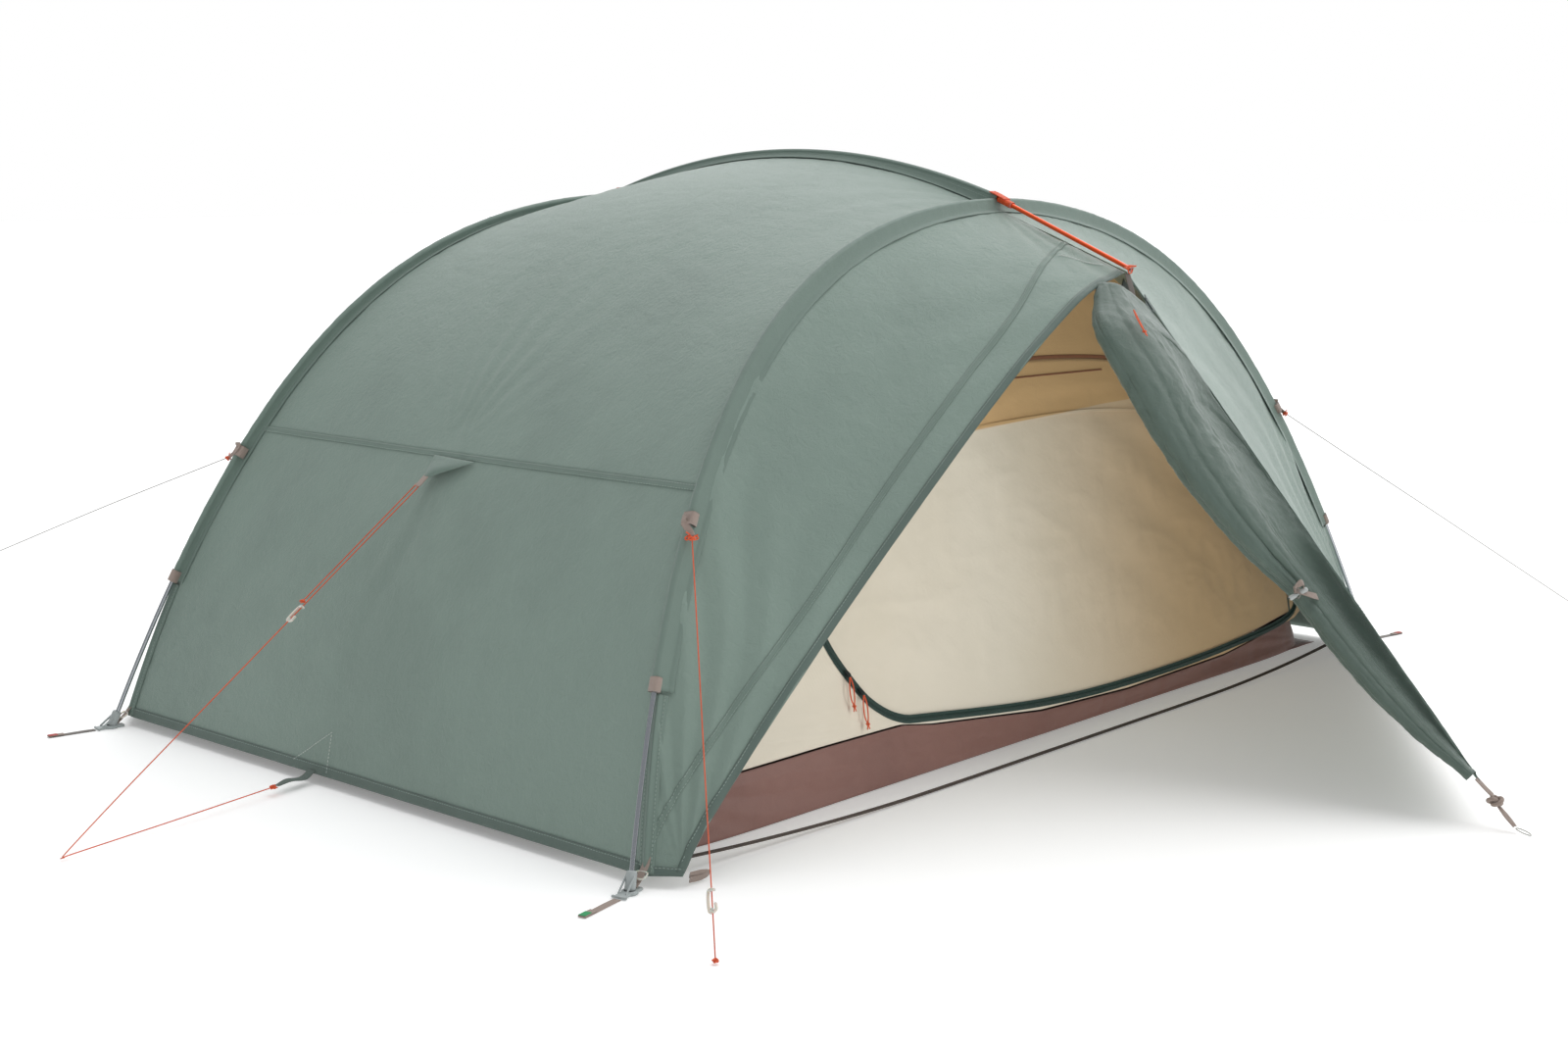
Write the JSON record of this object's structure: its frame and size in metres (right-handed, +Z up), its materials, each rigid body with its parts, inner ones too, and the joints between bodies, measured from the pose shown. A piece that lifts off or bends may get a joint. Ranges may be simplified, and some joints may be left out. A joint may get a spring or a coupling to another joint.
{
  "type": "tent on poles",
  "caption": "Low tent on bent main poles and a ridge pole: a fly with a vestibule over each door, one half door rolled back, an inner tent and guylines.",
  "frame": {"origin": "middle of the footprint on the ground", "axes": "+X along the door sides to the right as seen from the open door, +Y from the open front door to the rear door, +Z up"},
  "size_m": [3.8491, 4.0117, 1.2265],
  "materials": {
    "fly_cloth": "coated plain weave, slight sheen",
    "inner_cloth": "plain weave and mesh, matte",
    "groundsheet_cloth": "coated plain weave, slight sheen",
    "pole": "bright anodised",
    "ridge_pole": "orange anodised",
    "plastic": "moulded, fine texture",
    "runner_plastic": "translucent moulded",
    "webbing": "woven webbing, matte",
    "cord": "braided, matte",
    "zip_metal": "dark painted",
    "steel": "bare wire"
  },
  "bodies": {
    "tent": {"base_strap_front": "webbing", "base_strap_rear": "webbing", "fly_door_front_right": "fly_cloth", "fly_door_rear_left": "fly_cloth", "fly_door_rear_right": "fly_cloth", "fly_door_roll": "fly_cloth", "fly_end_wall_left": "fly_cloth", "fly_end_wall_right": "fly_cloth", "fly_roof_left": "fly_cloth", "fly_roof_right": "fly_cloth", "fly_side_front_left": "fly_cloth", "fly_side_front_right": "fly_cloth", "fly_side_rear_left": "fly_cloth", "fly_side_rear_right": "fly_cloth", "foot_front_left": "plastic", "foot_front_right": "plastic", "foot_rear_left": "plastic", "foot_rear_right": "plastic", "front_pole_left": "pole", "front_pole_right": "pole", "front_pole_top": "pole", "groundsheet": "groundsheet_cloth", "guy_tab_end": "webbing", "guy_tab_hem": "webbing", "guyline_end": "cord", "guyline_front_left": "cord", "guyline_front_right": "cord", "guyline_rear_left": "cord", "inner_front_wall": "inner_cloth", "inner_rear_wall": "inner_cloth", "inner_side_left": "inner_cloth", "inner_side_right": "inner_cloth", "peg_strap_front": "webbing", "peg_strap_rear": "webbing", "rear_pole_left": "pole", "rear_pole_right": "pole", "rear_pole_top": "pole", "ridge_pole_front": "ridge_pole", "ridge_pole_rear": "ridge_pole", "ridge_pole_roof": "ridge_pole"},
    "inner_door": {"inner_door": "inner_cloth"},
    "fly_zip": {"fly_zip_slider": "zip_metal"},
    "inner_zip_upper": {"inner_zip_slider_upper": "cord"},
    "inner_zip_lower": {"inner_zip_slider_lower": "cord"},
    "inner_pull_upper": {"inner_zip_pull_upper": "cord"},
    "inner_pull_lower": {"inner_zip_pull_lower": "cord"},
    "fly_pull": {"fly_zip_pull": "cord"},
    "toggle": {"door_toggle": "plastic"},
    "runner_end": {"line_runner_end": "runner_plastic"},
    "runner_front": {"line_runner_front": "runner_plastic"},
    "foot_strap_fl": {"foot_strap_front_left": "webbing"},
    "foot_strap_fr": {"foot_strap_front_right": "webbing"},
    "foot_strap_rl": {"foot_strap_rear_left": "webbing"},
    "foot_strap_rr": {"foot_strap_rear_right": "webbing"},
    "hook_front": {"peg_hook_front": "steel"},
    "hook_rear": {"peg_hook_rear": "steel"}
  },
  "joints": [
    {"name": "inner_door_swing", "type": "hinge", "parent": "tent", "child": "inner_door", "pos_m": [1.086, -0.702, 0.14], "axis": [0, 0, -1], "range_deg": [0, 22]},
    {"name": "fly_zip_slide", "type": "slide", "parent": "tent", "child": "fly_zip", "axis": [0.7904, 0.031, -0.6119], "range_m": [-0.5, 0.5]},
    {"name": "inner_zip_slide_upper", "type": "slide", "parent": "tent", "child": "inner_zip_upper", "axis": [-0.593, 0.1518, 0.7907], "range_m": [0, 0.08]},
    {"name": "inner_zip_slide_lower", "type": "slide", "parent": "tent", "child": "inner_zip_lower", "axis": [0.6539, -0.1427, -0.743], "range_m": [0, 0.05]},
    {"name": "inner_pull_swing_upper", "type": "hinge", "parent": "inner_zip_upper", "child": "inner_pull_upper", "pos_m": [-0.606, -0.6915, 0.2245], "axis": [-1, 0, 0], "range_deg": [-4, 100]},
    {"name": "inner_pull_swing_lower", "type": "hinge", "parent": "inner_zip_lower", "child": "inner_pull_lower", "pos_m": [-0.574, -0.6995, 0.1845], "axis": [-1, 0, 0], "range_deg": [-4, 100]},
    {"name": "fly_pull_swing", "type": "hinge", "parent": "tent", "child": "fly_pull", "pos_m": [-0.14, -1.005, 0.916], "axis": [-1, 0, 0], "range_deg": [0, 90]},
    {"name": "toggle_turn", "type": "hinge", "parent": "tent", "child": "toggle", "pos_m": [-0.092, -1.352, 0.402], "axis": [-0.5524, -0.8336, 0], "range_deg": [-40, 60]},
    {"name": "runner_slide_end", "type": "slide", "parent": "tent", "child": "runner_end", "axis": [0.8136, -0.0186, 0.5811], "range_m": [0, 0.2]},
    {"name": "runner_slide_front", "type": "slide", "parent": "tent", "child": "runner_front", "axis": [0.4852, 0.5331, 0.6931], "range_m": [0, 0.3]},
    {"name": "foot_strap_lift_fl", "type": "hinge", "parent": "tent", "child": "foot_strap_fl", "pos_m": [-1.33481, -0.80696, 0.0011], "axis": [-0.1961, 0.9806, 0], "range_deg": [0, 75]},
    {"name": "foot_strap_lift_fr", "type": "hinge", "parent": "tent", "child": "foot_strap_fr", "pos_m": [1.33481, -0.80696, 0.0011], "axis": [-0.1961, -0.9806, 0], "range_deg": [0, 75]},
    {"name": "foot_strap_lift_rl", "type": "hinge", "parent": "tent", "child": "foot_strap_rl", "pos_m": [-1.33481, 0.80696, 0.0011], "axis": [0.1961, 0.9806, 0], "range_deg": [0, 75]},
    {"name": "foot_strap_lift_rr", "type": "hinge", "parent": "tent", "child": "foot_strap_rr", "pos_m": [1.33481, 0.80696, 0.0011], "axis": [0.1961, -0.9806, 0], "range_deg": [0, 75]},
    {"name": "hook_lift_front", "type": "hinge", "parent": "tent", "child": "hook_front", "pos_m": [0, -1.7553, 0.0101], "axis": [-1, 0, 0], "range_deg": [0, 80]},
    {"name": "hook_lift_rear", "type": "hinge", "parent": "tent", "child": "hook_rear", "pos_m": [0, 1.7553, 0.0101], "axis": [1, 0, 0], "range_deg": [0, 80]}
  ]
}
